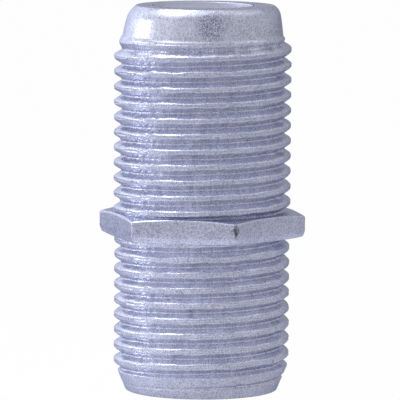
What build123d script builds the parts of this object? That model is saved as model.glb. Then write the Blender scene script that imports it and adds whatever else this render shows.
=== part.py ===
from build123d import *
import os
from math import ceil, cos, radians, sin, tan

# A coaxial barrel coupler: a threaded, plated barrel with a thin hex collar, open as a socket at
# both ends, with two moulded insulators that hold a contact tube on the axis.
# Millimetres. +Z runs along the axis and the origin is the middle of the lower end face.
# The collar's corners lie on +X and -X.

os.makedirs("parts", exist_ok=True)

# Barrel, outside
total_length = 20.08
thread_radius = 4.62
thread_pitch = 25.4 / 32
flank_angle = 30.0
crest_rounding = 0.20
root_flat = 0.12
thread_angle = -166.8
lower_chamfer_depth = 0.66
lower_chamfer_angle = 23.0
lower_edge_rounding = 0.10
nose_length = 1.71
nose_relief = 0.04
nose_taper = 10.0
nose_edge_rounding = 0.45
shoulder_angle = 42.0

# Hex collar
collar_height = 8.10
collar_thickness = 1.27
collar_proud = 0.13
collar_corner_rounding = 0.15
collar_corner_angle = 12.0
lower_bevel_height = 0.30
lower_bevel_depth = 0.10
upper_bevel_height = 0.06
upper_bevel_depth = 0.05

# Barrel, inside
barrel_wall = 1.10
lip_width = 0.60
lower_lip_thickness = 0.90
upper_lip_thickness = 0.70

# Insulators
insulator_clearance = 0.03
insulator_wall = 0.60
insulator_end_wall = 1.60
insulator_recess = 0.45
guide_radius = 0.75
funnel_radius = 1.50
funnel_depth = 0.80
hub_wall = 0.50
hub_length = 3.00

# Contact tube and its two spring contacts
tube_radius = 1.50
tube_wall = 0.25
tube_clearance = 0.03
spring_clearance = 0.02
spring_thickness = 0.10
flange_thickness = 0.12
spring_collar_length = 0.70
tine_length = 2.60
tine_tip_radius = 0.28
tine_flare = 0.10
tine_slot = 0.16
end_play = 0.05

# Thread form: flanks that meet a rounded crest, on a narrow flat root
crest_tangent_depth = crest_rounding * (1 - sin(radians(flank_angle)))
crest_tangent_half_width = crest_rounding * cos(radians(flank_angle))
ridge_half_width = (thread_pitch - root_flat) / 2
flank_depth = (ridge_half_width - crest_tangent_half_width) / tan(radians(flank_angle))
root_radius = thread_radius - crest_tangent_depth - flank_depth
ridge_embedding = root_flat / 4 / tan(radians(flank_angle))

# Places along the barrel
collar_top = collar_height + collar_thickness
collar_middle = collar_height + collar_thickness / 2
nose_base = total_length - nose_length
nose_base_radius = root_radius - nose_relief
upper_seat = total_length - upper_lip_thickness
insulator_joint = (lower_lip_thickness + upper_seat) / 2

# Radii inside
bore_radius = root_radius - barrel_wall
aperture_radius = bore_radius - lip_width
insulator_radius = bore_radius - insulator_clearance
boss_radius = aperture_radius - insulator_clearance
hub_bore_radius = tube_radius + tube_clearance
spring_radius = tube_radius - tube_wall - spring_clearance


def collar_outline(height, across_flats):
    """The hexagon with softened corners, at one height."""
    with BuildSketch(Plane.XY.offset(height)) as outline:
        RegularPolygon(across_flats / 2, 6, major_radius=False)
        fillet(outline.vertices(), collar_corner_rounding)
    return outline.sketch


# The hex collar: a prism with a soft lower edge, a crisp upper edge and coned corners
across_flats = 2 * (thread_radius + collar_proud)
corner_reach = 1.02 * across_flats / 2 / cos(radians(30))
corner_drop = (corner_reach - across_flats / 2) * tan(radians(collar_corner_angle))
with BuildPart() as collar:
    loft([collar_outline(collar_height, across_flats - 2 * lower_bevel_depth),
          collar_outline(collar_height + lower_bevel_height, across_flats)])
    extrude(collar_outline(collar_height + lower_bevel_height, across_flats),
            amount=collar_thickness - lower_bevel_height - upper_bevel_height)
    loft([collar_outline(collar_top - upper_bevel_height, across_flats),
          collar_outline(collar_top, across_flats - 2 * upper_bevel_depth)])
    with BuildSketch(Plane.XZ):
        with BuildLine():
            Polyline((0, collar_height),
                     (across_flats / 2, collar_height),
                     (corner_reach, collar_height + corner_drop),
                     (corner_reach, collar_top - corner_drop),
                     (across_flats / 2, collar_top),
                     (0, collar_top),
                     close=True)
        make_face()
    revolve(axis=Axis.Z, mode=Mode.INTERSECT)

# The thread: one ridge on a right-hand helix that crosses the middle of the collar at its angle.
# It and the core run past both ends, because the turned shape cuts them to length.
core_spare = 3 * thread_pitch
turns_below = ceil(collar_middle / thread_pitch) + 1
turns_above = ceil((total_length - collar_middle) / thread_pitch) + 1
ridge_start = collar_middle - turns_below * thread_pitch
outward = Vector(cos(radians(thread_angle)), sin(radians(thread_angle)), 0)
helix_base = Plane(origin=(0, 0, ridge_start), x_dir=outward, z_dir=(0, 0, 1))
ridge_section = Plane(origin=(0, 0, ridge_start), x_dir=outward, z_dir=-helix_base.y_dir)
foot = (root_radius - ridge_embedding, ridge_half_width + root_flat / 4)
crest_edge = (thread_radius - crest_tangent_depth, crest_tangent_half_width)
with BuildPart() as ridge:
    with BuildLine(helix_base) as helix:
        Helix(pitch=thread_pitch, height=(turns_below + turns_above) * thread_pitch, radius=root_radius)
    with BuildSketch(ridge_section):
        with BuildLine():
            Line((foot[0], -foot[1]), (crest_edge[0], -crest_edge[1]))
            ThreePointArc((crest_edge[0], -crest_edge[1]), (thread_radius, 0), crest_edge)
            Line(crest_edge, foot)
            Line(foot, (foot[0], -foot[1]))
        make_face()
    sweep(path=helix.wires()[0], is_frenet=True)

# The barrel: the round core and the ridge, turned to its end shapes, then the collar and the bore
turned_radius = thread_radius + collar_proud
lower_face_radius = thread_radius - lower_chamfer_depth
lower_chamfer_height = (turned_radius - lower_face_radius) / tan(radians(lower_chamfer_angle))
shoulder_height = (turned_radius - nose_base_radius) / tan(radians(shoulder_angle))
nose_top_radius = nose_base_radius - nose_length * tan(radians(nose_taper))
with BuildPart() as barrel_body:
    with BuildSketch(Plane.XY.offset(-core_spare)):
        Circle(root_radius)
    extrude(amount=total_length + 2 * core_spare)
    add(ridge.part)
    with BuildSketch(Plane.XZ) as turned_profile:
        with BuildLine():
            Polyline((0, 0),
                     (lower_face_radius, 0),
                     (turned_radius, lower_chamfer_height),
                     (turned_radius, nose_base - shoulder_height),
                     (nose_base_radius, nose_base),
                     (nose_top_radius, total_length),
                     (0, total_length),
                     close=True)
        make_face()
        fillet(turned_profile.vertices().group_by(Axis.Y)[0].sort_by(Axis.X)[-1], lower_edge_rounding)
        fillet(turned_profile.vertices().group_by(Axis.Y)[-1].sort_by(Axis.X)[-1], nose_edge_rounding)
    revolve(axis=Axis.Z, mode=Mode.INTERSECT)
    add(collar.part)
    with BuildSketch(Plane.XZ):
        with BuildLine():
            Polyline((0, 0),
                     (aperture_radius, 0),
                     (aperture_radius, lower_lip_thickness),
                     (bore_radius, lower_lip_thickness),
                     (bore_radius, upper_seat),
                     (aperture_radius, upper_seat),
                     (aperture_radius, total_length),
                     (0, total_length),
                     close=True)
        make_face()
    revolve(axis=Axis.Z, mode=Mode.SUBTRACT)
barrel_body.part.label = "barrel_body"
export_step(barrel_body.part, "parts/barrel_body.step")


def insulator(face, inward, lip_thickness):
    """One moulded insulator, drawn by its distance in from the barrel's end face: a boss in the
    lip, an end wall with a funnel and a guide hole, a hub for the tube, and a skirt to the joint."""
    end_wall = lip_thickness + insulator_end_wall
    hub_radius = hub_bore_radius + hub_wall
    cavity_radius = insulator_radius - insulator_wall
    joint = abs(insulator_joint - face)
    profile = [(funnel_radius, insulator_recess),
               (boss_radius, insulator_recess),
               (boss_radius, lip_thickness),
               (insulator_radius, lip_thickness),
               (insulator_radius, joint),
               (cavity_radius, joint),
               (cavity_radius, end_wall),
               (hub_radius, end_wall),
               (hub_radius, end_wall + hub_length),
               (hub_bore_radius, end_wall + hub_length),
               (hub_bore_radius, end_wall),
               (guide_radius, end_wall),
               (guide_radius, insulator_recess + funnel_depth)]
    with BuildPart() as moulding:
        with BuildSketch(Plane.XZ):
            with BuildLine():
                Polyline([(radius, face + inward * depth) for radius, depth in profile], close=True)
            make_face()
        revolve(axis=Axis.Z)
    return moulding.part


def spring_contact(face, inward, lip_thickness):
    """One pressed spring contact: a flange on the end of the tube, a collar inside it, and four
    tines that close in on the axis and flare a little at their tips."""
    flange = lip_thickness + insulator_end_wall + end_play
    collar_end = flange + flange_thickness + spring_collar_length
    tip = collar_end + tine_length
    spring_bore_radius = spring_radius - spring_thickness
    profile = [(spring_bore_radius, flange),
               (tube_radius, flange),
               (tube_radius, flange + flange_thickness),
               (spring_radius, flange + flange_thickness),
               (spring_radius, collar_end),
               (tine_tip_radius + spring_thickness, tip),
               (tine_tip_radius + spring_thickness + tine_flare, tip + 2 * tine_flare),
               (tine_tip_radius + tine_flare, tip + 2 * tine_flare),
               (tine_tip_radius, tip),
               (spring_bore_radius, collar_end)]
    with BuildPart() as contact:
        with BuildSketch(Plane.XZ):
            with BuildLine():
                Polyline([(radius, face + inward * depth) for radius, depth in profile], close=True)
            make_face()
        revolve(axis=Axis.Z)
        with BuildSketch(Plane.XY.offset(face + inward * collar_end)):
            Rectangle(2 * tube_radius, tine_slot)
            Rectangle(tine_slot, 2 * tube_radius)
        extrude(amount=inward * (tine_length + 3 * tine_flare), mode=Mode.SUBTRACT)
    return contact.part


# The insulators, one pushed in against the lower lip and one held by the rolled upper lip
lower_insulator = insulator(0, 1, lower_lip_thickness)
lower_insulator.label = "lower_insulator"
export_step(lower_insulator, "parts/lower_insulator.step")

upper_insulator = insulator(total_length, -1, upper_lip_thickness)
upper_insulator.label = "upper_insulator"
export_step(upper_insulator, "parts/upper_insulator.step")

# The contact tube, between the two flanges
flange_depth = insulator_end_wall + end_play + flange_thickness
tube_bottom = lower_lip_thickness + flange_depth
tube_top = upper_seat - flange_depth
with BuildPart() as contact_tube:
    with BuildSketch(Plane.XY.offset(tube_bottom)):
        Circle(tube_radius)
        Circle(tube_radius - tube_wall, mode=Mode.SUBTRACT)
    extrude(amount=tube_top - tube_bottom)
contact_tube.part.label = "contact_tube"
export_step(contact_tube.part, "parts/contact_tube.step")

# The spring contacts, one pressed into each end of the tube
lower_spring_contact = spring_contact(0, 1, lower_lip_thickness)
lower_spring_contact.label = "lower_spring_contact"
export_step(lower_spring_contact, "parts/lower_spring_contact.step")

upper_spring_contact = spring_contact(total_length, -1, upper_lip_thickness)
upper_spring_contact.label = "upper_spring_contact"
export_step(upper_spring_contact, "parts/upper_spring_contact.step")

print("root radius", round(root_radius, 4), "bore radius", round(bore_radius, 4))
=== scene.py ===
import bmesh
import bpy
import numpy as np
from mathutils import Matrix, Vector


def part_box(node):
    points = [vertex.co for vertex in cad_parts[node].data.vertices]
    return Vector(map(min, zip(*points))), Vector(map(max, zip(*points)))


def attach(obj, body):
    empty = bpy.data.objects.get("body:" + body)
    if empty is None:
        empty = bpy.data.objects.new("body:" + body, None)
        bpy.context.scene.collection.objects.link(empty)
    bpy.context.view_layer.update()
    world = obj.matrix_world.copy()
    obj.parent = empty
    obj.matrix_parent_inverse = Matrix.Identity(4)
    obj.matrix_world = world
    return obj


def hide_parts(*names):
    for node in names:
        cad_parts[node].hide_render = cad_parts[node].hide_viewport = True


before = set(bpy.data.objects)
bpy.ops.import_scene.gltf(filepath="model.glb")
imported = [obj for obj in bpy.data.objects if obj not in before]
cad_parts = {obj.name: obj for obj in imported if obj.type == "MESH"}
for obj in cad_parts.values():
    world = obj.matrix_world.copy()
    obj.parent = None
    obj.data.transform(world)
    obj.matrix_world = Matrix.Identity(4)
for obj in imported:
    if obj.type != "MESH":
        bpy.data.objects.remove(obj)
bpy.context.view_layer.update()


# ------------------------------------------------------------------------------------------------
# The barrel. One brass bar turned to shape, with a fine thread along both ends and a thin hexagon
# left standing between them, nickel plated all over. Its upper rim is rolled in over the insulator.
# ------------------------------------------------------------------------------------------------
mm = 0.001
barrel_low, barrel_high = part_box("barrel_body")
total_length = barrel_high.z / mm
half_flats = barrel_high.y / mm

pitch = 25.4 / 32
crest_radius = 4.625
lower_thread_wear = 0.045
crest_half_width = 0.105
crest_width_wear = 0.014
crest_height_wear = 0.008
nick_depth = 0.014
flank_rise = 1.732
crest_softness = 0.15
seam_depth = 0.022
seam_half_width = 0.045
seam_offset = 0.01
seam_unevenness = 0.4
root_half_width = 0.096
crest_height_at_x = 17.80

collar_low = 8.10
collar_high = 9.37
corner_rounding = 0.19
upper_corner_slope = 0.2126
lower_corner_slope = 0.09
lower_bevel_height = 0.30
lower_bevel_depth = 0.10
lower_bevel_belly = ((0.55, 0.45), (0.12, 0.85))
under_edge_inset = 0.03
under_edge_lift = 0.02
side_edge = 0.05
upper_bevel_depth = 0.065
upper_belly_inset = 0.018
upper_belly_drop = 0.028

chamfer_foot_radius = 3.955
chamfer_slope = 0.42
foot_rounding = 0.10
chamfer_end = 1.68
shoulder_start = 17.74
shoulder_slope = 1.0
step_height = 18.31
nose_base = 18.55
nose_base_radius = 4.172
fillet_height = 0.19
fillet_width = 0.112
fillet_easing = 0.25
entry_softness = 0.05
shoulder_softness = 0.02
root_radius = 4.2365
run_out_start = 17.90
run_out_height = 0.42
run_out_left = 0.30
last_groove_depth = 0.08
last_groove_top = 1.15
last_groove_fade = 0.25
nose_slope = 0.15
nose_bulge = 0.036
nose_top_slope = 0.30
rim_rounding = 0.93
rim_rounding_change = 0.165
rim_crease = np.radians(58)
rim_lean = 0.12
rim_lean_power = 1.35
rim_lean_direction = np.radians(11.25)

aperture_radius = 2.5365
bore_radius = 3.1365
lower_lip = 0.90
upper_lip = 0.70

row_hold = 0.010
merge_distance = 0.0005
columns = 216
corner_pull = 0.5
steps = 2 * np.pi * np.arange(columns + 1) / columns
angles = steps - corner_pull * np.sin(6 * steps) / 6


def waves(angle, height, count, longest, shortest, seed):
    """A random but even surface: a sum of cosines, each with a whole number of periods round the
    barrel and any period along it between the two lengths, scaled to a spread of about one."""
    chance = np.random.default_rng(seed)
    length = np.exp(chance.uniform(np.log(shortest), np.log(longest), count))
    heading = chance.uniform(0, 2 * np.pi, count)
    start = chance.uniform(0, 2 * np.pi, count)
    round_count = np.round(2 * np.pi * crest_radius / length * np.cos(heading))
    along = 2 * np.pi / length * np.sin(heading)
    total = np.zeros(np.broadcast(angle, height).shape)
    for k in range(count):
        total += np.cos(round_count[k] * angle + along[k] * height + start[k])
    return total / np.sqrt(count / 2)


def soft_least(a, b, softness):
    """The lesser of two values, with the corner between them rounded off over the softness."""
    overlap = np.maximum(softness - np.abs(a - b), 0)
    return np.minimum(a, b) - overlap**2 / (4 * softness)


def threaded_radius(angle, height):
    """Radius of the threaded outside. The distance to the nearest crest, which climbs one pitch a
    turn, gives a crest with a shallow rolled seam, flanks at 30 degrees and a narrow parabola at
    the root. Wear changes the crest's width and height, more so below the collar. The top turn runs
    out to a low ridge, and the last groove is deeper. The entry cone below and the stepped shoulder
    above cut the rest off."""
    crest_at = crest_height_at_x + pitch * angle / (2 * np.pi)
    offset = (height - crest_at + pitch / 2) % pitch - pitch / 2
    wear = waves(angle, height, 40, 3.0, 0.35, 11)
    nicks = np.maximum(waves(angle, height, 40, 1.2, 0.3, 12) - 1, 0)
    half_width = crest_half_width + crest_width_wear * wear
    seam = np.exp(-((offset + seam_offset) / seam_half_width) ** 2)
    seam = seam_depth * (1 + seam_unevenness * wear) * seam
    top = crest_radius - crest_height_wear * np.abs(wear) - nick_depth * nicks - seam
    top = top - lower_thread_wear * (height < collar_high)
    from_root = pitch / 2 - np.abs(offset)
    rounded = (from_root**2 + root_half_width**2) / (2 * root_half_width)
    from_root = np.where(from_root < root_half_width, rounded, from_root)
    flank = crest_radius + flank_rise * (half_width - pitch / 2 + from_root)
    flank = flank - last_groove_depth * np.clip((last_groove_top - height) / last_groove_fade, 0, 1)
    radius = soft_least(top, flank, crest_softness)
    entry_cone = chamfer_foot_radius + chamfer_slope * height
    left = np.clip(1 - (height - offset - run_out_start) / run_out_height, run_out_left, 1)
    radius = root_radius + left * (radius - root_radius)
    part = np.clip((nose_base - height) / fillet_height, 0, 1)
    step = fillet_width * (part - fillet_easing * np.sin(2 * np.pi * part) / (2 * np.pi))
    shoulder = nose_base_radius + step + shoulder_slope * np.maximum(step_height - height, 0)
    radius = soft_least(radius, entry_cone, entry_softness)
    return soft_least(radius, shoulder, shoulder_softness)


def barrel_points(radius, height):
    """Points in metres from radius and height over the columns, with the nose leaning a little."""
    rise = np.clip((height - nose_base) / (total_length - nose_base), 0, 1) ** rim_lean_power
    outer = np.clip((radius - aperture_radius) / (nose_base_radius - aperture_radius), 0, 1)
    lean = rim_lean * rise * outer
    x = radius * np.cos(angles) + lean * np.cos(rim_lean_direction)
    y = radius * np.sin(angles) + lean * np.sin(rim_lean_direction)
    return np.stack([x, y, height], axis=-1) * mm


def climbing_rows(low, high):
    """Rows that climb with the helix, closer together at the crest, and held between two heights."""
    places = np.array([0, 0.03, 0.06, 0.095, 0.135, 0.19, 0.26, 0.335])
    places = np.concatenate([places, [pitch / 2], pitch - places[:0:-1]])
    first = np.floor((low - crest_height_at_x) / pitch) - 2
    turns = first + np.arange(np.ceil((high - low) / pitch) + 4)
    start = (crest_height_at_x + pitch * turns[:, None] + places[None, :]).ravel()
    height = start[:, None] + pitch * angles[None, :] / (2 * np.pi)
    height = np.where(height < low + row_hold, low, height)
    height = np.where(height > high - row_hold, high, height)
    return threaded_radius(angles[None, :], height), height


def level_rows(low, high, count):
    """Level rows, close together, where the entry cone or the shoulder cuts the thread off."""
    height = np.linspace(low, high, count)[:, None] + 0 * angles[None, :]
    return threaded_radius(angles[None, :], height), height


def hexagon_radius(inset):
    """Radius of the collar's hexagon, its flats set in by this much, with rounded corners."""
    flat = half_flats - inset
    from_corner = np.abs((angles + np.pi / 6) % (np.pi / 3) - np.pi / 6)
    from_flat = np.pi / 6 - from_corner
    centre = (flat - corner_rounding) / np.cos(np.pi / 6)
    turn = np.arctan((flat - corner_rounding) * np.tan(np.pi / 6) / flat)
    reach = np.maximum(corner_rounding**2 - (centre * np.sin(from_corner)) ** 2, 0)
    arc = centre * np.cos(from_corner) + np.sqrt(reach)
    return np.where(from_flat <= turn, flat / np.cos(from_flat), arc)


def collar_rows():
    """Rows out over the collar's underside, up its side and in over its top. Its two faces fall
    back towards the six corners, as a turned hexagon's do, and both bevels bulge a little."""
    lower_root = threaded_radius(angles, collar_low + 0 * angles)
    upper_root = threaded_radius(angles, collar_high + 0 * angles)
    radii, heights = [], []

    def drop(radius, slope=upper_corner_slope):
        return slope * np.maximum(radius - half_flats, 0)

    def add(radius, height):
        radii.append(radius)
        heights.append(height)

    under = hexagon_radius(lower_bevel_depth + under_edge_inset)
    for part in (0, 0.35, 0.7, 0.9, 1.0):
        radius = lower_root + part * (under - lower_root)
        add(radius, collar_low + drop(radius, lower_corner_slope))
    edge = collar_low + drop(hexagon_radius(lower_bevel_depth), lower_corner_slope)
    bevel_top = collar_low + lower_bevel_height + 0.3 * drop(hexagon_radius(0))
    add(hexagon_radius(lower_bevel_depth), edge + under_edge_lift)
    for depth_share, height_share in lower_bevel_belly:
        add(hexagon_radius(lower_bevel_depth * depth_share), edge + height_share * (bevel_top - edge))
    top_edge = collar_high - drop(hexagon_radius(0))
    side_low, side_high = bevel_top + side_edge, top_edge - side_edge
    for part in (0, 0.35, 0.7, 0.92, 1.0):
        add(hexagon_radius(0), side_low + part * (side_high - side_low))
    add(hexagon_radius(upper_belly_inset), top_edge - upper_belly_drop)
    over = hexagon_radius(upper_bevel_depth)
    add(over, top_edge + drop(hexagon_radius(0)) - drop(over))
    for part in (0.06, 0.2, 0.5, 0.8, 1.0):
        radius = over + part * (upper_root - over)
        add(radius, collar_high - drop(radius))
    return np.array(radii), np.array(heights)


def turned_rows(profile):
    """Rows for the plain turned stretches: each (radius, height) of the profile goes all round."""
    profile = np.array(profile)
    ones = np.ones(columns + 1)
    return profile[:, 0, None] * ones, profile[:, 1, None] * ones


def rounding(centre, radius, start, end, count):
    """Points on an arc of a turned profile, from one heading to another, in degrees."""
    heading = np.radians(np.linspace(start, end, count))
    return [(centre[0] + radius * np.cos(h), centre[1] + radius * np.sin(h)) for h in heading]


# The foot's rounding runs from the end face, heading straight down, to the entry cone
cone_heading = -np.degrees(np.arctan(chamfer_slope))
foot_top = foot_rounding * (1 + np.sin(np.radians(cone_heading)))
foot_top_radius = chamfer_foot_radius + chamfer_slope * foot_top
foot_centre = (foot_top_radius - foot_rounding * np.cos(np.radians(cone_heading)), foot_rounding)
foot = rounding(foot_centre, foot_rounding, -90, cone_heading, 6)

# Inside: the upper lip, the bore that holds the insulators, and the lower lip
lip_edge = 0.05
mouth = rounding((aperture_radius + lip_edge, total_length - lip_edge), lip_edge, 90, 180, 4)
lower_mouth = rounding((aperture_radius + lip_edge, lip_edge), lip_edge, 180, 270, 4)
inside = [(aperture_radius, total_length - upper_lip),
          (bore_radius, total_length - upper_lip),
          (bore_radius, total_length / 2),
          (bore_radius, lower_lip),
          (aperture_radius, lower_lip)]
face_start, face_width = lower_mouth[-1][0], foot[0][0] - lower_mouth[-1][0]
under_face = [(face_start + part * face_width, 0) for part in (0.1, 0.5, 0.9)]


def nose_rows():
    """The nose: a cone that bulges a little, then the rolled rim's rounding, which is broader on
    one side than on the other and ends in a crease, then the flat top in to the mouth."""
    size = rim_rounding - rim_rounding_change * np.cos(angles - rim_lean_direction)
    wall_heading = np.arctan(nose_top_slope)
    roll_start = total_length - size * (np.sin(rim_crease) - np.sin(wall_heading))
    part = np.linspace(0, 1, 10)[:, None]
    wall_height = nose_base + part * (roll_start - nose_base)
    above = wall_height - nose_base
    wall_radius = nose_base_radius - nose_slope * above - nose_bulge * above**3
    heading = np.linspace(wall_heading, rim_crease, 9)[1:, None]
    roll_radius = wall_radius[-1] - size * (np.cos(wall_heading) - np.cos(heading))
    roll_height = total_length - size * (np.sin(rim_crease) - np.sin(heading))
    crease = roll_radius[-1:]
    flat_part = np.array([0.02, 0.05, 0.25, 0.6, 0.95])[:, None]
    flat_radius = crease + flat_part * (mouth[0][0] - crease)
    flat_height = total_length + 0 * flat_radius
    return (np.concatenate([wall_radius, roll_radius, flat_radius]),
            np.concatenate([wall_height, roll_height, flat_height]))


patches = [
    turned_rows(foot),
    level_rows(foot_top, chamfer_end, 50),
    climbing_rows(chamfer_end, collar_low),
    collar_rows(),
    climbing_rows(collar_high, shoulder_start),
    level_rows(shoulder_start, nose_base, 32),
    nose_rows(),
    turned_rows(mouth + inside + lower_mouth + under_face + foot[:1]),
]


def barrel_mesh():
    """All the patches as one closed mesh: each is a grid of rows by columns, and points that
    coincide, at the seam, between patches and where climbing rows are held, are merged."""
    points, faces, paint, count = [], [], [], 0
    for number, (radius, height) in enumerate(patches):
        rows = radius.shape[0]
        points.append(barrel_points(radius, height).reshape(-1, 3))
        index = count + np.arange(rows * (columns + 1)).reshape(rows, columns + 1)
        corners = (index[:-1, :-1], index[:-1, 1:], index[1:, 1:], index[1:, :-1])
        faces.append(np.stack([c.ravel() for c in corners], axis=-1))
        # The last patch, the mouth, the bore and the end face under the barrel, takes the second material,
        # which is painted darker as shade.
        paint.append(np.full(len(faces[-1]), int(number == len(patches) - 1)))
        count += rows * (columns + 1)
    mesh = bpy.data.meshes.new("barrel")
    mesh.from_pydata(np.concatenate(points).tolist(), [], np.concatenate(faces).tolist())
    mesh.polygons.foreach_set("material_index", np.concatenate(paint).astype(np.int32))
    work = bmesh.new()
    work.from_mesh(mesh)
    bmesh.ops.remove_doubles(work, verts=work.verts, dist=merge_distance * mm)
    bmesh.ops.recalc_face_normals(work, faces=work.faces)
    work.to_mesh(mesh)
    work.free()
    mesh.shade_smooth()
    return mesh


def nickel_plating():
    """Nickel over turned brass: a bluish, slightly cloudy metal, finely grained, with dull specks, a
    scuffed place on the nose whose dark flecks are wear and whose brightest flecks are painted glints, a
    chip on one corner of the hexagon and a few small pits."""
    material = bpy.data.materials.new("nickel_plating")
    material.use_nodes = True
    nodes, links = material.node_tree.nodes, material.node_tree.links
    shader = nodes["Principled BSDF"]
    shader.inputs["Metallic"].default_value = 1.0
    shader.inputs["Specular Tint"].default_value = (0.60, 0.62, 0.70, 1)
    place = nodes.new("ShaderNodeTexCoord")

    def noise(size, detail, roughness=0.5):
        node = nodes.new("ShaderNodeTexNoise")
        node.inputs["Scale"].default_value = 1 / (size * mm)
        node.inputs["Detail"].default_value = detail
        node.inputs["Roughness"].default_value = roughness
        links.new(place.outputs["Object"], node.inputs["Vector"])
        return node

    def ramp(source, stops):
        node = nodes.new("ShaderNodeValToRGB")
        node.color_ramp.elements[0].position = stops[0][0]
        node.color_ramp.elements[0].color = stops[0][1]
        node.color_ramp.elements[1].position = stops[-1][0]
        node.color_ramp.elements[1].color = stops[-1][1]
        for position, colour in stops[1:-1]:
            node.color_ramp.elements.new(position).color = colour
        links.new(source, node.inputs["Fac"])
        return node

    def near(centre, size):
        """One well inside a ragged ellipsoid, of this centre and half size in millimetres, falling
        to none at its edge."""
        ragged = nodes.new("ShaderNodeVectorMath")
        ragged.operation = "MULTIPLY_ADD"
        links.new(noise(0.25, 2).outputs["Color"], ragged.inputs[0])
        ragged.inputs[1].default_value = Vector((0.5, 0.5, 0.5)) * mm
        links.new(place.outputs["Object"], ragged.inputs[2])
        away = nodes.new("ShaderNodeVectorMath")
        away.operation = "SUBTRACT"
        links.new(ragged.outputs["Vector"], away.inputs[0])
        away.inputs[1].default_value = (Vector(centre) + Vector((0.25, 0.25, 0.25))) * mm
        scaled = nodes.new("ShaderNodeVectorMath")
        scaled.operation = "DIVIDE"
        links.new(away.outputs["Vector"], scaled.inputs[0])
        scaled.inputs[1].default_value = Vector(size) * mm
        reach = nodes.new("ShaderNodeVectorMath")
        reach.operation = "LENGTH"
        links.new(scaled.outputs["Vector"], reach.inputs[0])
        fall = nodes.new("ShaderNodeMapRange")
        fall.inputs["From Min"].default_value = 1.0
        fall.inputs["From Max"].default_value = 0.5
        links.new(reach.outputs["Value"], fall.inputs["Value"])
        return fall.outputs["Result"]

    def multiplied(first, second, share=None):
        node = nodes.new("ShaderNodeMix")
        node.data_type = "RGBA"
        node.blend_type = "MULTIPLY"
        node.inputs["Factor"].default_value = 1.0
        if share is not None:
            links.new(share, node.inputs["Factor"])
        links.new(first, node.inputs["A"])
        links.new(second, node.inputs["B"])
        return node.outputs["Result"]

    def grey(value):
        return (value, value, value, 1)

    cloud = noise(0.9, 4)
    tint = ramp(cloud.outputs["Fac"], [(0.35, (0.72, 0.74, 0.85, 1)), (0.65, (0.81, 0.83, 0.94, 1))])
    speck = noise(0.075, 2)
    speckle = ramp(speck.outputs["Fac"], [(0.30, grey(0.58)), (0.50, grey(0.98)), (0.70, grey(1.18))])
    colour = multiplied(tint.outputs["Color"], speckle.outputs["Color"])
    # The scuffed place on the nose: its dark flecks are wear, and its brightest flecks, at 1.6, above
    # white, are painted glints.
    scuff_and_glint_patch = near((1.20, -3.85, 19.30), (0.85, 0.85, 1.05))
    flecks_and_painted_glints = ramp(noise(0.06, 1).outputs["Fac"],
                  [(0.30, (0.32, 0.34, 0.41, 1)), (0.56, (0.78, 0.81, 0.93, 1)), (0.66, grey(1.6))])
    colour = multiplied(colour, flecks_and_painted_glints.outputs["Color"], scuff_and_glint_patch)
    chip = near((2.76, -4.74, 8.84), (0.30, 0.30, 0.42))
    flaws = ramp(noise(0.11, 2, 0.7).outputs["Fac"], [(0.35, grey(0.10)), (0.62, grey(0.42))])
    colour = multiplied(colour, flaws.outputs["Color"], chip)
    pits = ramp(noise(0.28, 1).outputs["Fac"], [(0.72, grey(1.0)), (0.80, grey(0.60))])
    colour = multiplied(colour, pits.outputs["Color"])
    links.new(colour, shader.inputs["Base Color"])
    wear = noise(0.16, 3, 0.6)
    dullness = ramp(wear.outputs["Fac"], [(0.35, grey(0.20)), (0.7, grey(0.40))])
    links.new(dullness.outputs["Color"], shader.inputs["Roughness"])
    grain = noise(0.10, 4, 0.6)
    bump = nodes.new("ShaderNodeBump")
    bump.inputs["Strength"].default_value = 0.28
    bump.inputs["Distance"].default_value = 0.02 * mm
    links.new(grain.outputs["Fac"], bump.inputs["Height"])
    dent = nodes.new("ShaderNodeBump")
    dent.invert = True
    dent.inputs["Distance"].default_value = 0.10 * mm
    links.new(chip, dent.inputs["Height"])
    links.new(bump.outputs["Normal"], dent.inputs["Normal"])
    links.new(dent.outputs["Normal"], shader.inputs["Normal"])
    return material


def bore_painted_shade():
    """The plating in the mouth, the bore and under the end face, painted darker than outside as shade for
    the recess and the underside, smoother and duller.
    """
    material = bpy.data.materials.new("bore_painted_shade")
    material.use_nodes = True
    nodes, links = material.node_tree.nodes, material.node_tree.links
    shader = nodes["Principled BSDF"]
    shader.inputs["Metallic"].default_value = 1.0
    place = nodes.new("ShaderNodeTexCoord")
    cloud = nodes.new("ShaderNodeTexNoise")
    cloud.inputs["Scale"].default_value = 1 / (0.8 * mm)
    cloud.inputs["Detail"].default_value = 3
    links.new(place.outputs["Object"], cloud.inputs["Vector"])
    # Painted shade: these colours are darker than the outer plating's, for the shade in the bore and under
    # the end face.
    tint = nodes.new("ShaderNodeValToRGB")
    tint.color_ramp.elements[0].color = (0.56, 0.58, 0.69, 1)
    tint.color_ramp.elements[1].color = (0.74, 0.76, 0.86, 1)
    links.new(cloud.outputs["Fac"], tint.inputs["Fac"])
    links.new(tint.outputs["Color"], shader.inputs["Base Color"])
    dullness = nodes.new("ShaderNodeMapRange")
    dullness.inputs["To Min"].default_value = 0.40
    dullness.inputs["To Max"].default_value = 0.60
    links.new(cloud.outputs["Fac"], dullness.inputs["Value"])
    links.new(dullness.outputs["Result"], shader.inputs["Roughness"])
    return material


barrel = bpy.data.objects.new("barrel", barrel_mesh())
bpy.context.scene.collection.objects.link(barrel)
barrel.data.materials.append(nickel_plating())
barrel.data.materials.append(bore_painted_shade())
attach(barrel, "root")
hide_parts("barrel_body")


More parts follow.
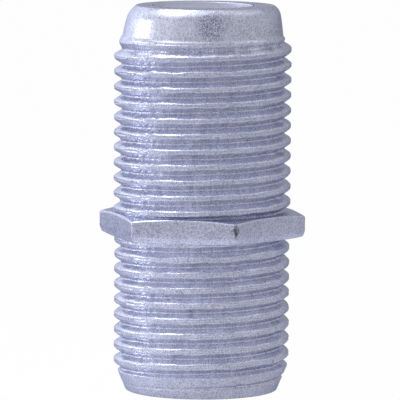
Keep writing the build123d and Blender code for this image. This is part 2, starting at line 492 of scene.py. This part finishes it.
# ------------------------------------------------------------------------------------------------
# The lower insulator. A white moulding pushed in against the lower lip: a boss that fills the lip,
# an end wall with a funnel to a guide hole, a hub for the contact tube, and a long thin skirt.
# ------------------------------------------------------------------------------------------------
insulator_clearance = 0.03
skirt_wall = 0.60
insulator_radius = bore_radius - insulator_clearance
cavity_radius = insulator_radius - skirt_wall
boss_radius = aperture_radius - insulator_clearance
hub_radius = 2.03
hub_bore_radius = 1.53
guide_radius = 0.75
funnel_radius = 1.50
recess = 0.45
funnel_depth = 0.80
end_wall = 1.60
hub_length = 3.00
moulding_rounding = 0.08
around_moulding = 96


def softened(profile, size):
    """A closed turned profile with each corner rounded off, by a curve of five points that starts
    and ends at this distance from it, or at 0.4 of a shorter side. A point more beyond each end
    keeps the shading of the flat stretches flat."""
    profile = np.array(profile)
    before = np.roll(profile, 1, axis=0) - profile
    after = np.roll(profile, -1, axis=0) - profile
    before_length = np.linalg.norm(before, axis=1, keepdims=True)
    after_length = np.linalg.norm(after, axis=1, keepdims=True)
    start = before / before_length * np.minimum(size, 0.4 * before_length)
    end = after / after_length * np.minimum(size, 0.4 * after_length)
    points = [profile + 1.15 * start]
    for t in (0, 0.25, 0.5, 0.75, 1.0):
        points.append(profile + (1 - t) ** 2 * start + t**2 * end)
    points.append(profile + 1.15 * end)
    return np.stack(points, axis=1).reshape(-1, 2)


def turned_mesh(name, profile, count):
    """A closed profile of (radius, height) in millimetres, turned round the Z axis."""
    turn = 2 * np.pi * np.arange(count) / count
    radius, height = profile[:, 0, None], profile[:, 1, None]
    points = np.stack([radius * np.cos(turn), radius * np.sin(turn), height + 0 * turn], axis=-1)
    index = np.arange(len(profile) * count).reshape(len(profile), count)
    above, beside = np.roll(index, -1, axis=0), np.roll(index, -1, axis=1)
    across = np.roll(above, -1, axis=1)
    faces = np.stack([index, beside, across, above], axis=-1).reshape(-1, 4)
    mesh = bpy.data.meshes.new(name)
    mesh.from_pydata((points * mm).reshape(-1, 3).tolist(), [], faces.tolist())
    work = bmesh.new()
    work.from_mesh(mesh)
    bmesh.ops.recalc_face_normals(work, faces=work.faces)
    work.to_mesh(mesh)
    work.free()
    mesh.shade_smooth()
    return mesh


def insulator_profile(face, inward, lip, joint):
    """The moulding's section, drawn by its depth in from the barrel's end face."""
    depths = [(funnel_radius, recess),
              (boss_radius, recess),
              (boss_radius, lip),
              (insulator_radius, lip),
              (insulator_radius, joint),
              (cavity_radius, joint),
              (cavity_radius, lip + end_wall),
              (hub_radius, lip + end_wall),
              (hub_radius, lip + end_wall + hub_length),
              (hub_bore_radius, lip + end_wall + hub_length),
              (hub_bore_radius, lip + end_wall),
              (guide_radius, lip + end_wall),
              (guide_radius, recess + funnel_depth)]
    return softened([(radius, face + inward * depth) for radius, depth in depths], moulding_rounding)


def moulded_plastic():
    """Natural polymer: off-white, a little cloudy and waxy, with a faint orange-peel skin."""
    material = bpy.data.materials.new("moulded_plastic")
    material.use_nodes = True
    nodes, links = material.node_tree.nodes, material.node_tree.links
    shader = nodes["Principled BSDF"]
    shader.inputs["Subsurface Weight"].default_value = 0.15
    shader.inputs["Subsurface Scale"].default_value = 0.4 * mm
    place = nodes.new("ShaderNodeTexCoord")
    flow = nodes.new("ShaderNodeTexNoise")
    flow.inputs["Scale"].default_value = 1 / (1.5 * mm)
    flow.inputs["Detail"].default_value = 3
    links.new(place.outputs["Object"], flow.inputs["Vector"])
    tint = nodes.new("ShaderNodeValToRGB")
    tint.color_ramp.elements[0].position = 0.35
    tint.color_ramp.elements[0].color = (0.80, 0.79, 0.73, 1)
    tint.color_ramp.elements[1].position = 0.65
    tint.color_ramp.elements[1].color = (0.88, 0.87, 0.82, 1)
    links.new(flow.outputs["Fac"], tint.inputs["Fac"])
    links.new(tint.outputs["Color"], shader.inputs["Base Color"])
    sheen = nodes.new("ShaderNodeMapRange")
    sheen.inputs["To Min"].default_value = 0.38
    sheen.inputs["To Max"].default_value = 0.55
    links.new(flow.outputs["Fac"], sheen.inputs["Value"])
    links.new(sheen.outputs["Result"], shader.inputs["Roughness"])
    skin = nodes.new("ShaderNodeTexNoise")
    skin.inputs["Scale"].default_value = 1 / (0.12 * mm)
    links.new(place.outputs["Object"], skin.inputs["Vector"])
    bump = nodes.new("ShaderNodeBump")
    bump.inputs["Strength"].default_value = 0.2
    bump.inputs["Distance"].default_value = 0.01 * mm
    links.new(skin.outputs["Fac"], bump.inputs["Height"])
    links.new(bump.outputs["Normal"], shader.inputs["Normal"])
    return material


plastic = moulded_plastic()
joint_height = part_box("lower_insulator")[1].z / mm
section = insulator_profile(0, 1, lower_lip, joint_height)
below_mesh = turned_mesh("insulator_below", section, around_moulding)
insulator_below = bpy.data.objects.new("insulator_below", below_mesh)
bpy.context.scene.collection.objects.link(insulator_below)
insulator_below.data.materials.append(plastic)
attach(insulator_below, "root")
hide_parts("lower_insulator")


# ------------------------------------------------------------------------------------------------
# The upper insulator. The same white moulding the other way up, with a shorter boss, that meets
# the lower one half way along the barrel and is held down by the rolled upper lip.
# ------------------------------------------------------------------------------------------------
section = insulator_profile(total_length, -1, upper_lip, total_length - joint_height)
above_mesh = turned_mesh("insulator_above", section, around_moulding)
insulator_above = bpy.data.objects.new("insulator_above", above_mesh)
bpy.context.scene.collection.objects.link(insulator_above)
insulator_above.data.materials.append(plastic)
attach(insulator_above, "root")
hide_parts("upper_insulator")


# ------------------------------------------------------------------------------------------------
# The contact tube. A drawn brass tube, tin plated, that lies in the hubs of both insulators and
# joins the two sockets. Its ends are cut square and deburred.
# ------------------------------------------------------------------------------------------------
tube_low, tube_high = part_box("contact_tube")
tube_radius = tube_high.x / mm
tube_wall = 0.25
tube_bore = tube_radius - tube_wall
tube_rounding = 0.06
section = softened([(tube_bore, tube_low.z / mm), (tube_radius, tube_low.z / mm),
                    (tube_radius, tube_high.z / mm), (tube_bore, tube_high.z / mm)], tube_rounding)


def drawn_metal(name, dark, light, stretch):
    """Bare or tinned metal, drawn or rolled: fine lines, longer one way by the stretch, that vary
    both its tint and its gloss."""
    material = bpy.data.materials.new(name)
    material.use_nodes = True
    nodes, links = material.node_tree.nodes, material.node_tree.links
    shader = nodes["Principled BSDF"]
    shader.inputs["Metallic"].default_value = 1.0
    place = nodes.new("ShaderNodeTexCoord")
    scale = nodes.new("ShaderNodeMapping")
    scale.inputs["Scale"].default_value = (1, 1, 1 / stretch)
    links.new(place.outputs["Object"], scale.inputs["Vector"])
    lines = nodes.new("ShaderNodeTexNoise")
    lines.inputs["Scale"].default_value = 1 / (0.10 * mm)
    lines.inputs["Detail"].default_value = 3
    links.new(scale.outputs["Vector"], lines.inputs["Vector"])
    tint = nodes.new("ShaderNodeValToRGB")
    tint.color_ramp.elements[0].position = 0.3
    tint.color_ramp.elements[0].color = dark
    tint.color_ramp.elements[1].position = 0.7
    tint.color_ramp.elements[1].color = light
    links.new(lines.outputs["Fac"], tint.inputs["Fac"])
    links.new(tint.outputs["Color"], shader.inputs["Base Color"])
    gloss = nodes.new("ShaderNodeMapRange")
    gloss.inputs["To Min"].default_value = 0.25
    gloss.inputs["To Max"].default_value = 0.45
    links.new(lines.outputs["Fac"], gloss.inputs["Value"])
    links.new(gloss.outputs["Result"], shader.inputs["Roughness"])
    bump = nodes.new("ShaderNodeBump")
    bump.inputs["Strength"].default_value = 0.2
    bump.inputs["Distance"].default_value = 0.01 * mm
    links.new(lines.outputs["Fac"], bump.inputs["Height"])
    links.new(bump.outputs["Normal"], shader.inputs["Normal"])
    return material


tube = bpy.data.objects.new("tube", turned_mesh("tube", section, 96))
bpy.context.scene.collection.objects.link(tube)
tube.data.materials.append(drawn_metal("tinned_brass", (0.66, 0.62, 0.54, 1), (0.80, 0.76, 0.68, 1), 12))
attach(tube, "root")
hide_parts("contact_tube")


# ------------------------------------------------------------------------------------------------
# The lower spring contact. Pressed from bronze strip: a flange that butts on the tube's end, a
# collar inside the tube, and four tines that close in on the axis and flare at their tips.
# ------------------------------------------------------------------------------------------------
spring_clearance = 0.02
spring_radius = tube_bore - spring_clearance
spring_thickness = 0.10
spring_rounding = 0.04
flange_thickness = 0.12
spring_collar_length = 0.70
tine_length = 2.60
tine_tip_radius = 0.28
tine_flare = 0.10
tine_slot = 0.16
tine_bow = 0.07
tine_root_share = 0.08
skin_gap = 0.01


def spring_mesh(name, end, inward):
    """The flange and collar, turned, and four tines whose roots are sunk in the collar. A tine is
    a closed sheet: its stations run along the outer skin and back along the inner one, and its
    columns run across it between two slots of even width. All its edges are closed, and it bows in
    a little along its length."""
    collar_end = flange_thickness + spring_collar_length
    bore = spring_radius - spring_thickness
    ring = [(bore, 0),
            (tube_radius, 0),
            (tube_radius, flange_thickness),
            (spring_radius, flange_thickness),
            (spring_radius, collar_end),
            (bore, collar_end)]
    ring = softened(ring, spring_rounding)
    mesh = turned_mesh(name, ring * [1, inward] + [0, end], 72)
    along = np.concatenate([[-tine_root_share, 0], np.linspace(0.15, 1, 10)]) * tine_length
    outer = np.interp(along, [0, tine_length], [spring_radius, tine_tip_radius + spring_thickness])
    outer = outer - tine_bow * np.sin(np.pi * np.clip(along / tine_length, 0, 1))
    outer[0] = spring_radius
    flare = np.array([0.35, 1.0])
    along = collar_end + np.concatenate([along, tine_length + 2 * tine_flare * flare])
    outer = np.concatenate([outer, tine_tip_radius + spring_thickness + tine_flare * flare**2])
    radius = np.concatenate([outer - skin_gap, (outer - spring_thickness + skin_gap)[::-1]])
    depth = np.concatenate([along, along[::-1]])
    half_slot = np.arcsin((tine_slot / 2 + skin_gap) / radius)[:, None]
    across = np.linspace(0, 1, 9)[None, :]
    turn = half_slot + across * (np.pi / 2 - 2 * half_slot)
    points, faces = [], []
    rows, cols = turn.shape
    index = np.arange(rows * cols).reshape(rows, cols)
    for quarter in range(4):
        around = turn + quarter * np.pi / 2
        tine = np.stack([radius[:, None] * np.cos(around), radius[:, None] * np.sin(around),
                         end + inward * depth[:, None] + 0 * around], axis=-1)
        points.append(tine.reshape(-1, 3))
        base = quarter * rows * cols
        loop = np.roll(index, -1, axis=0)
        skin = np.stack([index[:, :-1], loop[:, :-1], loop[:, 1:], index[:, 1:]], axis=-1)
        faces.append(skin.reshape(-1, 4) + base)
        front, back = index[: rows // 2], index[rows // 2:][::-1]
        for side in (0, -1):
            strip = np.stack([front[:-1, side], front[1:, side], back[1:, side], back[:-1, side]], axis=-1)
            faces.append(strip + base)
    tines = bpy.data.meshes.new(name + "_tines")
    tines.from_pydata((np.concatenate(points) * mm).tolist(), [], np.concatenate(faces).tolist())
    work = bmesh.new()
    work.from_mesh(mesh)
    work.from_mesh(tines)
    bmesh.ops.recalc_face_normals(work, faces=work.faces)
    work.to_mesh(mesh)
    work.free()
    bpy.data.meshes.remove(tines)
    mesh.shade_smooth()
    mesh.set_sharp_from_angle(angle=np.radians(50))
    return mesh


bronze = drawn_metal("spring_bronze", (0.62, 0.46, 0.26, 1), (0.82, 0.64, 0.40, 1), 4)
spring_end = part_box("lower_spring_contact")[0].z / mm
spring_below = bpy.data.objects.new("spring_below", spring_mesh("spring_below", spring_end, 1))
bpy.context.scene.collection.objects.link(spring_below)
spring_below.data.materials.append(bronze)
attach(spring_below, "root")
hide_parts("lower_spring_contact")


# ------------------------------------------------------------------------------------------------
# The upper spring contact. The same pressing in bronze strip, the other way up, pressed into the
# tube's upper end.
# ------------------------------------------------------------------------------------------------
spring_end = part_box("upper_spring_contact")[1].z / mm
spring_above = bpy.data.objects.new("spring_above", spring_mesh("spring_above", spring_end, -1))
bpy.context.scene.collection.objects.link(spring_above)
spring_above.data.materials.append(bronze)
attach(spring_above, "root")
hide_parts("upper_spring_contact")


# ------------------------------------------------------------------------------------------------
# The studio: a wide floor and low surround, with a painted pool of light on the floor at the barrel's left
# front that fades to a darker bluish grey further out, and soft lamps on its left, behind it and overhead.
# All that the camera sees of it is plain white. The floor lies a hair under the barrel, so that the two
# faces don't flicker through each other.
# ------------------------------------------------------------------------------------------------
def seen_as_white(material, camera_share, reflected_share):
    """Shows a plain white of strength 1 in place of a share of the lit paint: one share for the
    camera and another for reflections. The rest still carries light and the object's shadow."""
    nodes, links = material.node_tree.nodes, material.node_tree.links
    path = nodes.new("ShaderNodeLightPath")
    reflected = nodes.new("ShaderNodeMath")
    reflected.operation = "MAXIMUM"
    links.new(path.outputs["Is Glossy Ray"], reflected.inputs[0])
    links.new(path.outputs["Is Transmission Ray"], reflected.inputs[1])
    dimmed = nodes.new("ShaderNodeMath")
    dimmed.operation = "MULTIPLY"
    dimmed.inputs[1].default_value = reflected_share
    links.new(reflected.outputs[0], dimmed.inputs[0])
    share = nodes.new("ShaderNodeMath")
    share.operation = "MULTIPLY_ADD"
    share.inputs[1].default_value = camera_share
    links.new(path.outputs["Is Camera Ray"], share.inputs[0])
    links.new(dimmed.outputs[0], share.inputs[2])
    white = nodes.new("ShaderNodeEmission")
    mix = nodes.new("ShaderNodeMixShader")
    links.new(share.outputs[0], mix.inputs["Fac"])
    links.new(nodes["Principled BSDF"].outputs[0], mix.inputs[1])
    links.new(white.outputs[0], mix.inputs[2])
    links.new(mix.outputs[0], nodes["Material Output"].inputs["Surface"])


world = bpy.data.worlds.new("studio")
bpy.context.scene.world = world
world.use_nodes = True
sky_path = world.node_tree.nodes.new("ShaderNodeLightPath")
sky = world.node_tree.nodes.new("ShaderNodeMix")
sky.data_type = "RGBA"
sky.inputs["A"].default_value = (0.49, 0.495, 0.53, 1)
sky.inputs["B"].default_value = (1, 1, 1, 1)
world.node_tree.links.new(sky_path.outputs["Is Camera Ray"], sky.inputs["Factor"])
world.node_tree.links.new(sky.outputs["Result"], world.node_tree.nodes["Background"].inputs["Color"])

backdrop_radius = 3.0
backdrop_height = 0.15
floor_gap = 0.005 * mm
floor_middle = 0.01 * mm
# Painted light: a pool of light painted on the floor, palest within the inner reach of this spot at the
# barrel's left front and darker bluish grey beyond the outer reach. The metal reflects it.
painted_pool_centre = Vector((-9, -5, 0)) * mm
painted_pool_inner_reach = 6 * mm
painted_pool_outer_reach = 45 * mm
round_steps = 2 * np.pi * np.arange(97) / 96
path_radius = np.array([floor_middle, backdrop_radius, backdrop_radius])
path_height = np.array([-floor_gap, -floor_gap, backdrop_height])
sheet = np.stack([path_radius[:, None] * np.cos(round_steps), path_radius[:, None] * np.sin(round_steps),
                  path_height[:, None] + 0 * round_steps], axis=-1)
index = np.arange(3 * 97).reshape(3, 97)
sheet_faces = np.stack([index[:-1, :-1], index[1:, :-1], index[1:, 1:], index[:-1, 1:]], axis=-1)
backdrop_mesh = bpy.data.meshes.new("backdrop")
backdrop_mesh.from_pydata(sheet.reshape(-1, 3).tolist(), [], sheet_faces.reshape(-1, 4).tolist())
backdrop = bpy.data.objects.new("backdrop", backdrop_mesh)
bpy.context.scene.collection.objects.link(backdrop)
backdrop_paint = bpy.data.materials.new("backdrop_paint")
backdrop_paint.use_nodes = True
paint_nodes, paint_links = backdrop_paint.node_tree.nodes, backdrop_paint.node_tree.links
floor_place = paint_nodes.new("ShaderNodeTexCoord")
distance_to_painted_pool = paint_nodes.new("ShaderNodeVectorMath")
distance_to_painted_pool.operation = "DISTANCE"
distance_to_painted_pool.inputs[1].default_value = painted_pool_centre
paint_links.new(floor_place.outputs["Object"], distance_to_painted_pool.inputs[0])
painted_pool_falloff = paint_nodes.new("ShaderNodeMapRange")
painted_pool_falloff.inputs["From Min"].default_value = painted_pool_inner_reach
painted_pool_falloff.inputs["From Max"].default_value = painted_pool_outer_reach
paint_links.new(distance_to_painted_pool.outputs["Value"], painted_pool_falloff.inputs["Value"])
# The painted pool of light's colours: pale at its centre, darker bluish grey far out.
painted_light_pool = paint_nodes.new("ShaderNodeValToRGB")
painted_light_pool.color_ramp.elements[0].color = (0.66, 0.68, 0.80, 1)
painted_light_pool.color_ramp.elements[1].color = (0.24, 0.26, 0.38, 1)
paint_links.new(painted_pool_falloff.outputs["Result"], painted_light_pool.inputs["Fac"])
paint_links.new(painted_light_pool.outputs["Color"], paint_nodes["Principled BSDF"].inputs["Base Color"])
paint_nodes["Principled BSDF"].inputs["Roughness"].default_value = 0.9
seen_as_white(backdrop_paint, 0.985, 0.28)
backdrop_mesh.materials.append(backdrop_paint)


def lamp(name, bearing, distance, height, size, brightness, colour=(1, 1, 1)):
    """A soft rectangular lamp, at a bearing in degrees from the front (left is negative)
    and a distance and height in millimetres, turned to the barrel's middle. Its power is its
    brightness, the radiance of its face, times pi times its area."""
    heading = view_azimuth + np.radians(bearing)
    place = Vector((distance * np.sin(heading), -distance * np.cos(heading), height)) * mm
    light = bpy.data.lights.new(name, "AREA")
    light.shape = "RECTANGLE"
    light.size, light.size_y = size[0] * mm, size[1] * mm
    light.color = colour
    light.energy = brightness * np.pi * light.size * light.size_y
    holder = bpy.data.objects.new(name, light)
    bpy.context.scene.collection.objects.link(holder)
    holder.location = place
    middle = Vector((0, 0, total_length / 2)) * mm
    holder.rotation_euler = (middle - place).to_track_quat("-Z", "Y").to_euler()
    holder.visible_camera = False


view_azimuth = np.radians(11.25)
cool = (0.85, 0.88, 1.0)
lamp("left_box", -98, 80, 35, (26, 13), 5.2, cool)
lamp("low_strip", -82, 90, 0, (32, 16), 1.9)
lamp("left_front_sheet", -72, 110, 45, (100, 100), 0.34, cool)
lamp("left_back_sheet", -140, 110, 45, (130, 100), 0.74, cool)
lamp("overhead_bar", -118, 55, 142, (105, 28), 6.0, cool)
lamp("overhead_sheet", -90, 45, 150, (150, 150), 0.64, cool)
lamp("overhead_right_sheet", 98, 70, 125, (80, 90), 0.28, cool)
lamp("front_left_sheet", -32, 210, 70, (170, 150), 0.14, cool)

# The camera: a long lens, a little above the middle of the barrel, and hardly rolled
view_elevation = np.radians(6.33)
view_distance = 244.1
view_height = 9.914
view_roll = np.radians(0.34)
back = Vector((np.sin(view_azimuth) * np.cos(view_elevation),
               -np.cos(view_azimuth) * np.cos(view_elevation), np.sin(view_elevation)))
right = Vector((0, 0, 1)).cross(back).normalized()
up = back.cross(right)
tilted_right = right * np.cos(view_roll) + up * np.sin(view_roll)
tilted_up = back.cross(tilted_right)
camera = bpy.data.objects.new("camera", bpy.data.cameras.new("camera"))
bpy.context.scene.collection.objects.link(camera)
camera.data.lens = 421.7
camera.data.sensor_width = 36.0
camera.data.shift_x = -0.0050
camera.data.clip_start = 0.01
camera.data.clip_end = 20.0
centre = Vector((0, 0, view_height)) * mm
turn = Matrix((tilted_right, tilted_up, back)).transposed().to_4x4()
camera.matrix_world = Matrix.Translation(centre + back * view_distance * mm) @ turn
bpy.context.scene.camera = camera
bpy.context.scene.view_settings.view_transform = "Standard"
